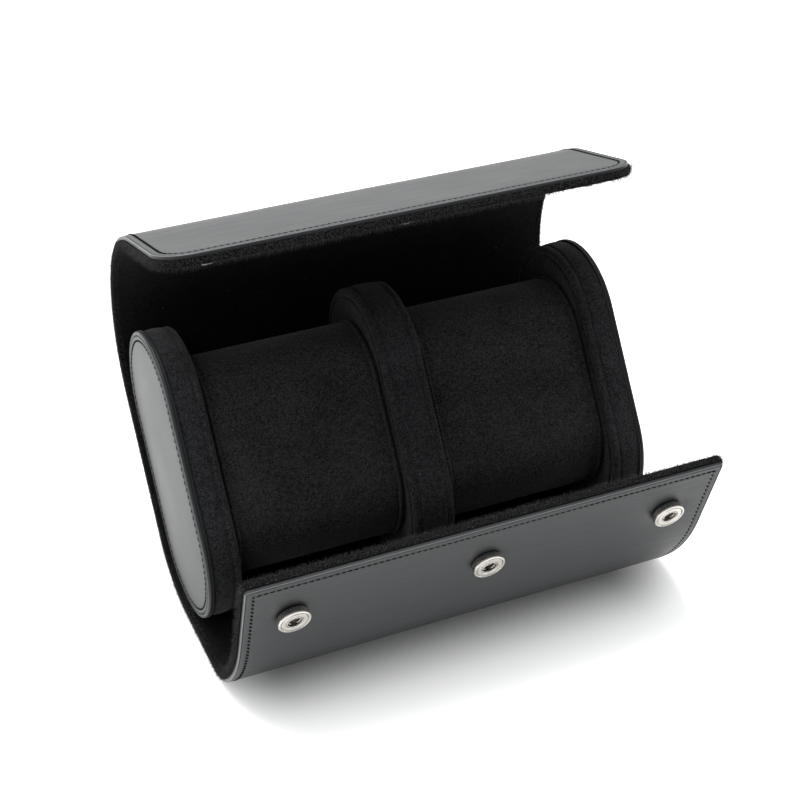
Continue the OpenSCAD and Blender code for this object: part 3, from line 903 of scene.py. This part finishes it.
# Inset from the oval and depth below the outer face, in millimetres, from the crown round to the back
PANEL_EDGE = [
    (5.2, -0.04), (4.6, 0.0), (4.1, 0.03), (3.8, 0.08), (3.55, 0.19), (3.3, 0.24), (3.05, 0.19), (2.8, 0.06),
    (2.55, -0.03), (2.25, -0.05), (2.0, -0.02), (1.82, 0.12), (1.7, 0.4), (1.6, 0.54), (1.5, 0.4),
    (1.38, 0.12), (1.2, 0.02), (0.95, 0.02), (0.68, 0.07), (0.42, 0.2), (0.2, 0.42), (0.06, 0.7), (0.0, 1.0),
    (0.04, 1.18), (0.2, 1.28), (0.34, 1.34), (0.3, 1.42), (0.1, 1.52), (0.04, 1.7), (0.08, 1.9), (0.25, 2.08),
    (0.6, 2.18), (1.05, 2.18), (1.2, 1.98), (8.0, 1.98),
]


def cap_leather_finish(tree, place):
    """A smoother leather than the wrap's, with a finer grain and less of a shine."""
    cloudy = tree.noise(place, 60.0, 3.0)
    pores = tree.noise(place, 3300.0, 2.0)
    return {
        "Base Color": tree.mix_colour(cloudy, (0.010, 0.0116, 0.0124), (0.016, 0.0180, 0.0192)),
        "Roughness": cloudy * 0.08 + pores * 0.08 + 0.36,
        "Specular IOR Level": 0.21,
        "Coat Weight": 0.03,
        "Coat Roughness": 0.3,
        "Normal": tree.bump(grain(tree, place, 2300.0, 0.2) * 0.5 + pores * 0.5, 0.28, 0.025 * MM),
    }


cap_leather = finish("cap_leather", cap_leather_finish)

for number, (side, sign) in enumerate((("left", -1), ("right", 1))):
    face = crowned(PANEL_CROWN, last=6.2 * MM, foot=5 * MM)
    face = [(inset, depth - PANEL_SUNK) for inset, depth in face]
    edge = [(inset * MM, depth * MM) for inset, depth in PANEL_EDGE]
    section = face + edge + [(CAP_R, PANEL_BACK)]
    rings = [cap_oval(sign * (CAP_OUT - depth), inset) for inset, depth in section]
    panel = closed_loft(f"{side}_leather_panel", rings, cap_leather)
    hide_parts(f"{side}_cap_panel")
    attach(panel, "case")
    ring = cap_oval(sign * (CAP_OUT - CAP_SEAM_DEPTH), CAP_SEAM_INSET)[::-sign]
    path = path_of_edges([np.vstack([ring, ring[:1]])], [np.tile([float(sign), 0, 0], (len(ring) + 1, 1))])
    stitches = seam.make(f"{side}_panel_seam", path, {
        "Pitch": FINE_PITCH, "Length": FINE_LENGTH, "Thickness": FINE_THREAD_R, "Slant": FINE_SLANT,
        "Seed": PANEL_SEED + number,
    })
    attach(stitches, "case")

# ---- Suede of the caps and the divider ----------------------------------------------------------
# The same black suede as the lining, without the lining's painted shade, cut as a band and as oval
# faces and sewn over the foam. A piped bead runs along each seam between band and face, and the band
# puckers softly beside it.
FACE_CROWN = 0.22 * MM
BEAD_R, BEAD_INSET = 1.5 * MM, 2.1 * MM
BEAD_TURNS = np.radians(np.linspace(-20, 200, 13))
SEAM_PUCKER, BAND_PUCKER = 0.05 * MM, 0.16 * MM
PUCKER_TURN = 0.35  # radians from one point round the oval to the next
BAND_INSET, BAND_SWELL = 0.6 * MM, 0.3 * MM
BAND_FROM, BAND_TO = 3.3 * MM, 2.9 * MM  # in from the inner and the outer face
# Inset and depth, in millimetres, from a face's edge to its bead and from there to the band
FACE_EDGE = [(4.8, 0.0), (4.3, 0.06), (4.0, 0.2), (3.8, 0.5), (3.68, 0.9)]
BAND_EDGE = [(1.02, 2.75), (1.0, 3.0), (0.78, 3.15)]
# The same from the band's outer edge to the middle of the cap's back, under the panel
COVER_BACK = [(0.78, 2.5), (1.0, 2.22), (1.3, 2.02), (8, 2.02), (CAP_R / MM, 2.02)]


def puckers(amount, seed):
    """Small soft folds round a seam, the same for every run."""
    turn = np.arange(1, len(WAY_BACK) + 1) * PUCKER_TURN
    return amount * (np.sin(1.7 * turn + seed) + np.sin(2.9 * turn + 2 * seed) + np.sin(0.6 * turn)) / 3


def sewn_edge(face, towards, seed):
    """Rings from the middle of a suede face at x, over its bead, to the first line of its band."""
    section = crowned(FACE_CROWN, last=5.5 * MM, foot=4 * MM)
    section += [(inset * MM, depth * MM) for inset, depth in FACE_EDGE]
    for turn in BEAD_TURNS:
        section.append((BEAD_INSET + BEAD_R * math.cos(turn), BEAD_R - BEAD_R * math.sin(turn)))
    section += [(inset * MM, depth * MM) for inset, depth in BAND_EDGE]
    rings = []
    for i, (inset, depth) in enumerate(section):
        x = face + towards * (depth + puckers(SEAM_PUCKER, seed))
        rings.append(cap_oval(x, inset + puckers(SEAM_PUCKER, seed + i)))
    return rings


def band_rings(start, end, seed, count=14):
    """Rings of a band between two places along the roll. It fills out and puckers in between."""
    rings = []
    for share in np.linspace(0, 1, count):
        swell = math.sin(math.pi * share)
        inset = BAND_INSET - BAND_SWELL * swell + puckers(BAND_PUCKER * swell, seed + 2 * share)
        rings.append(cap_oval(start + (end - start) * share, inset))
    return rings


cap_suede = finish("cap_suede", suede_finish((0.003, 0.003, 0.0032), (0.031, 0.0316, 0.0338), 0.09))

for sign, side in ((-1, "left"), (1, "right")):
    face = sewn_edge(sign * CAP_IN, sign, 1.0 + sign)
    band = band_rings(sign * (CAP_IN + BAND_FROM), sign * (CAP_OUT - BAND_TO), 3.0 + sign)
    back = [cap_oval(sign * (CAP_OUT - depth * MM), inset * MM) for inset, depth in COVER_BACK]
    cover = closed_loft(f"{side}_cap_suede_cover", face + band + back, cap_suede, sharp=60)
    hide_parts(f"{side}_cap_band", f"{side}_cap_bead", f"{side}_cap_face")
    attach(cover, "case")

DIVIDER_HALF = 7.5 * MM
left_face, right_face = sewn_edge(-DIVIDER_HALF, 1, 5.0), sewn_edge(DIVIDER_HALF, -1, 9.0)
band = band_rings(-DIVIDER_HALF + BAND_FROM, DIVIDER_HALF - BAND_FROM, 7.0, 9)
cover = closed_loft("divider_suede_cover", left_face + band + right_face[::-1], cap_suede, sharp=60)
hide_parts("divider_band", "divider_beads", "divider_faces")
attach(cover, "case")

# ---- Pillows ------------------------------------------------------------------------------------
# Two soft oval pillows that a watch is strapped round, one each side of the divider. Each is foam in a
# suede sleeve with an oval of suede sewn in at either end, and it slides out with its watch.
PILLOW_R = 23 * MM
PILLOW_HALF_STRAIGHT = 16 * MM
PILLOW_BACK = -1.5 * MM
PILLOW_HALF = (CAP_IN - DIVIDER_HALF) / 2 - CLEARANCE
PILLOW_MIDDLE = (CAP_IN + DIVIDER_HALF) / 2
# Before it is filled, the cover is smaller all round and at either end
COVER_INSET, COVER_SHORT = 1.4 * MM, 1.3 * MM
PILLOW_NEAR = PILLOW_MIDDLE - PILLOW_HALF + COVER_SHORT
PILLOW_FAR = PILLOW_MIDDLE + PILLOW_HALF - COVER_SHORT
SWELL = 1.15 * MM  # at most
FILLING_FRAMES = 20
LEAST_MOVE = 1e-9
WELT_R, WELT_INSET, WELT_SINK = 0.68 * MM, 1.55 * MM, 0.2 * MM
WELT_SIDES = 10

pillow_suede = finish("pillow_suede", suede_finish((0.003, 0.003, 0.003), (0.036, 0.036, 0.0362), 0.09))


def pillow_ring(x, inset):
    """A ring of points round a pillow, half as close as round a cap."""
    return oval(x, inset, PILLOW_R, PILLOW_HALF_STRAIGHT, PILLOW_BACK)[::2]


def inflated(pillow, pinned):
    """Blows the cover up a little over its stuffing. Its seams stay where they are."""
    pillow.vertex_groups.new(name="seams").add(pinned, 1.0, "REPLACE")
    cloth = pillow.modifiers.new("stuffing", "CLOTH")
    cloth.point_cache.frame_end = FILLING_FRAMES
    air = cloth.settings
    air.vertex_group_mass = "seams"
    air.use_pressure = True
    air.uniform_pressure_force = 4
    air.effector_weights.gravity = 0
    for step in range(1, FILLING_FRAMES + 1):
        bpy.context.scene.frame_set(step)
    blown = pillow.evaluated_get(bpy.context.evaluated_depsgraph_get()).data
    after = np.array([v.co for v in blown.vertices])
    before = np.array([v.co for v in pillow.data.vertices])
    moved = after - before
    length = np.linalg.norm(moved, axis=1, keepdims=True)
    moved *= SWELL * np.tanh(length / SWELL) / np.maximum(length, LEAST_MOVE)
    pillow.modifiers.remove(cloth)
    pillow.vertex_groups.clear()
    pillow.data.vertices.foreach_set("co", (before + moved).ravel())
    pillow.data.update()
    bpy.context.scene.frame_set(1)


for sign, side in ((-1, "left"), (1, "right")):
    ends = np.linspace(PILLOW_R, COVER_INSET, 10)
    places = [(PILLOW_NEAR, inset) for inset in ends]
    places += [(x, COVER_INSET) for x in np.linspace(PILLOW_NEAR, PILLOW_FAR, 22)[1:-1]]
    places += [(PILLOW_FAR, inset) for inset in ends[::-1]]
    rings = [pillow_ring(sign * x, inset) for x, inset in places]
    pillow = closed_loft(f"{side}_pillow", rings, pillow_suede, sharp=180)
    sewn = np.concatenate([pillow_ring(sign * x, COVER_INSET) for x in (PILLOW_NEAR, PILLOW_FAR)])
    seams = [
        v.index for v in pillow.data.vertices
        if np.linalg.norm(sewn - np.array(v.co), axis=1).min() < 10 * SAME_POINT
    ]
    inflated(pillow, seams)
    finer = pillow.modifiers.new("smooth", "SUBSURF")
    finer.levels = finer.render_levels = 1
    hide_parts(f"{side}_pillow_foam", f"{side}_pillow_sleeve", f"{side}_pillow_ends")
    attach(pillow, f"pillow_{side}")
    for number, x in enumerate((sign * (PILLOW_NEAR + WELT_SINK), sign * (PILLOW_FAR - WELT_SINK))):
        rings = [
            pillow_ring(x + WELT_R * math.sin(turn), WELT_INSET + WELT_R * math.cos(turn))
            for turn in np.linspace(0, 2 * math.pi, WELT_SIDES + 1)
        ]
        welt = closed_loft(f"{side}_pillow_welt_{number + 1}", rings, pillow_suede, sharp=60)
        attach(welt, f"pillow_{side}")

# ---- Pile along the lining's edge ---------------------------------------------------------------
# The suede's pile stands out all along the wrap's cut edge, as a short uneven fringe of fibres past
# the leather and over the rim. It is longest on the top flap's edge.
FRINGE = {
    "front_edge": 1.55 * MM, "front": 1.25 * MM, "back": 1.25 * MM, "top": 1.5 * MM, "top_edge": 2.1 * MM,
}
FIBRE_R = 0.05 * MM
FIBRES = 7e6  # to the square metre
FIBRE_LEAN = 0.8
SHORTEST, LONGEST = 0.45, 1.25  # shares of a fibre's length
PILE_SEED = 40
# Inset and depth of the surface that the fibres grow on, in millimetres, from the inner skin outwards
RIM_PROFILE = [(1.8, 1.95), (0.9, 1.95), (0.35, 1.75), (0.1, 1.45), (0.02, 1.1), (0.02, 0.2), (0.02, -0.7)]

fringe_suede = finish("fringe_suede", suede_finish((0.003, 0.003, 0.003), (0.048, 0.048, 0.0485), 0.12))


def pile_builder():
    """Tapered fibres scattered over a surface. Each leans its own way and has its own length."""
    tree = Builder("pile", ["Density", "Length", "Thickness", "Lean", "Seed"], fringe_suede)
    given = tree.given
    roots = tree.node(
        "GeometryNodeDistributePointsOnFaces", {"distribute_method": "RANDOM"},
        {"Mesh": given.of("Geometry"), "Density": given.of("Density"), "Seed": given.of("Seed")},
    )
    fibre = tree.node("GeometryNodeMeshCone", {"fill_type": "NGON"}, {
        "Vertices": 3, "Side Segments": 2, "Radius Top": 0.0, "Radius Bottom": given.of("Thickness"),
        "Depth": given.of("Length"),
    })
    way, back = given.of("Lean"), given.of("Lean") * -1.0
    lean = tree.node("FunctionNodeRandomValue", {"data_type": "FLOAT_VECTOR"}, {
        "Min": tree.vector(X=back, Y=back), "Max": tree.vector(X=way, Y=way), "Seed": given.of("Seed"),
    })
    turned = tree.node("FunctionNodeRotateRotation", {"rotation_space": "LOCAL"}, {
        0: roots.of("Rotation"), 1: tree.node("FunctionNodeEulerToRotation", {}, {0: lean}),
    })
    size = tree.node("FunctionNodeRandomValue", {"data_type": "FLOAT"}, {
        "Min": SHORTEST, "Max": LONGEST, "Seed": given.of("Seed") + 7.0,
    }, 1)
    tree.close(tree.node("GeometryNodeInstanceOnPoints", {}, {
        "Points": roots, "Instance": fibre, "Rotation": turned, "Scale": size,
    }))
    return tree


pile = pile_builder()


def surface(name, grids):
    """An object of open grids of points, each with the side that its faces show."""
    points, faces = [], []
    for grid, outwards in grids:
        first = sum(len(p) for p in points)
        rows, columns = grid.shape[:2]
        some = np.cross(grid[1, 0] - grid[0, 0], grid[0, 1] - grid[0, 0])
        sheet = quads(rows, columns, first)
        faces += sheet if some @ outwards < 0 else [face[::-1] for face in sheet]
        points.append(grid.reshape(-1, 3))
    mesh = bpy.data.meshes.new(name)
    mesh.from_pydata(np.concatenate(points).tolist(), [], faces)
    return add_object(name, mesh)


for number, (name, start, end, fold, half_width, body, next_body) in enumerate(PIECES):
    corner_r = CORNER_R.get(name, 0)
    lines = [
        [on_wrap(x, along, depth * MM) for x, along in edge_runs(start, end, inset * MM, corner_r)]
        for inset, depth in RIM_PROFILE
    ]
    grids = []
    for way in zip(*lines):
        count = min(len(line) for line in way)
        way = [line[np.linspace(0, len(line) - 1, count).round().astype(int)] for line in way]
        grid = np.stack(way, axis=1)
        places = edge_runs(start, end, RIM_PROFILE[0][0] * MM, corner_r)[len(grids)]
        grids.append((grid, way_out(places[0][0], places[1][0], 1)))
    fringe = pile.make(f"{name}_pile", surface("rim", grids), {
        "Density": FIBRES, "Length": FRINGE[name], "Thickness": FIBRE_R, "Lean": FIBRE_LEAN,
        "Seed": PILE_SEED + number,
    })
    place_on_wrap(fringe, fold, half_width)

# ---- Floor, light and camera --------------------------------------------------------------------
# A white table in a white room, under a large soft lamp above and a faint one on the left, as in a
# small product studio. The table's paper has a painted shadow round the case and a painted glow
# further out. The camera has a long lens, a little over half a metre away.
AIM = Vector((1.02, 11.59, 62.69)) * MM
TOWARDS_CAMERA = Vector((-0.3290, -0.7611, 0.5590))
CAMERA_DISTANCE = 589.2 * MM
TABLE_HALF = 4
# Painted shadow and painted glow on the paper: within this half size round the case it is painted grey and
# hardly glows, and it turns to glowing white over the width below
PAINTED_SHADOW_HALF = (60 * MM, 34 * MM, 0)  # of the paper that stays grey under the case
PAINTED_SHADOW_WIDTH = 33 * MM
PAINTED_GLOW = 0.42
ROOM_LIGHT = 1.1


def looking_at(name, data, place, target):
    """Adds a lamp or a camera that looks from one point to another."""
    thing = add_object(name, data)
    thing.location = place
    thing.rotation_euler = (target - place).to_track_quat("-Z", "Y").to_euler()
    return thing


def lamp(name, place, size, power):
    """A round, soft lamp that faces the case."""
    data = bpy.data.lights.new(name, "AREA")
    data.shape, data.size, data.energy = "DISK", size, power
    return looking_at(name, data, Vector(place), AIM)


def paper_painted_shadow_finish(tree, place):
    """White paper with a painted glow, and a painted shadow round the case, where it is painted grey and
    hardly glows.
    """
    out = place.vector_math("ABSOLUTE").vector_math("SUBTRACT", PAINTED_SHADOW_HALF).vector_math("MAXIMUM")
    away = out.vector_math("LENGTH", out="Value")
    share = tree.node(
        "ShaderNodeMapRange", {"interpolation_type": "SMOOTHSTEP"}, {"Value": away, "From Max": PAINTED_SHADOW_WIDTH}
    )
    return {
        # Painted shadow in the base colour, and a painted glow in the emission
        "Base Color": tree.mix_colour(share, (0.6, 0.6, 0.6), (0.93, 0.93, 0.93)),
        "Roughness": 0.9,
        "Emission Color": tree.mix_colour(share, (0.05, 0.05, 0.05), (1.0, 1.0, 1.0)),
        "Emission Strength": PAINTED_GLOW,
    }


def table():
    """A wide white table top, seen as the floor."""
    mesh = bpy.data.meshes.new("floor")
    corners = [(-1, -1, 0), (1, -1, 0), (1, 1, 0), (-1, 1, 0)]
    mesh.from_pydata([Vector(corner) * TABLE_HALF for corner in corners], [], [(0, 1, 2, 3)])
    mesh.materials.append(finish("white_paper_painted_shadow_glow", paper_painted_shadow_finish))
    add_object("floor", mesh)


table()
lamp("left_lamp", (-0.9, 0.1, 0.7), size=1.0, power=2)
lamp("top_lamp", (-0.15, 0.4, 1.2), size=1.1, power=24)


def studio():
    """White walls all round, but for the darker side of the room that the front flap faces."""
    world = bpy.data.worlds.new("studio")
    world.use_nodes = True
    tree = Tree(world.node_tree)
    way = tree.node("ShaderNodeTexCoord", out="Generated")
    # Its y is -1 straight in front of the case and 1 straight behind it
    wall = tree.node("ShaderNodeSeparateXYZ", {}, {0: way}, "Y") * 1.1 + 0.85
    shade = tree.node("ShaderNodeClamp", {}, {0: wall})
    light = tree.node("ShaderNodeBackground", {}, {
        "Color": tree.mix_colour(shade, (0.44, 0.45, 0.465), (1.0, 1.0, 1.0)), "Strength": ROOM_LIGHT,
    })
    tree.node("ShaderNodeOutputWorld", {}, {"Surface": light})
    bpy.context.scene.world = world


studio()
bpy.context.scene.view_settings.view_transform = "Standard"

lens = bpy.data.cameras.new("camera")
lens.sensor_width, lens.lens = 36, 77.14
camera = looking_at("camera", lens, AIM + CAMERA_DISTANCE * TOWARDS_CAMERA, AIM)
bpy.context.scene.camera = camera
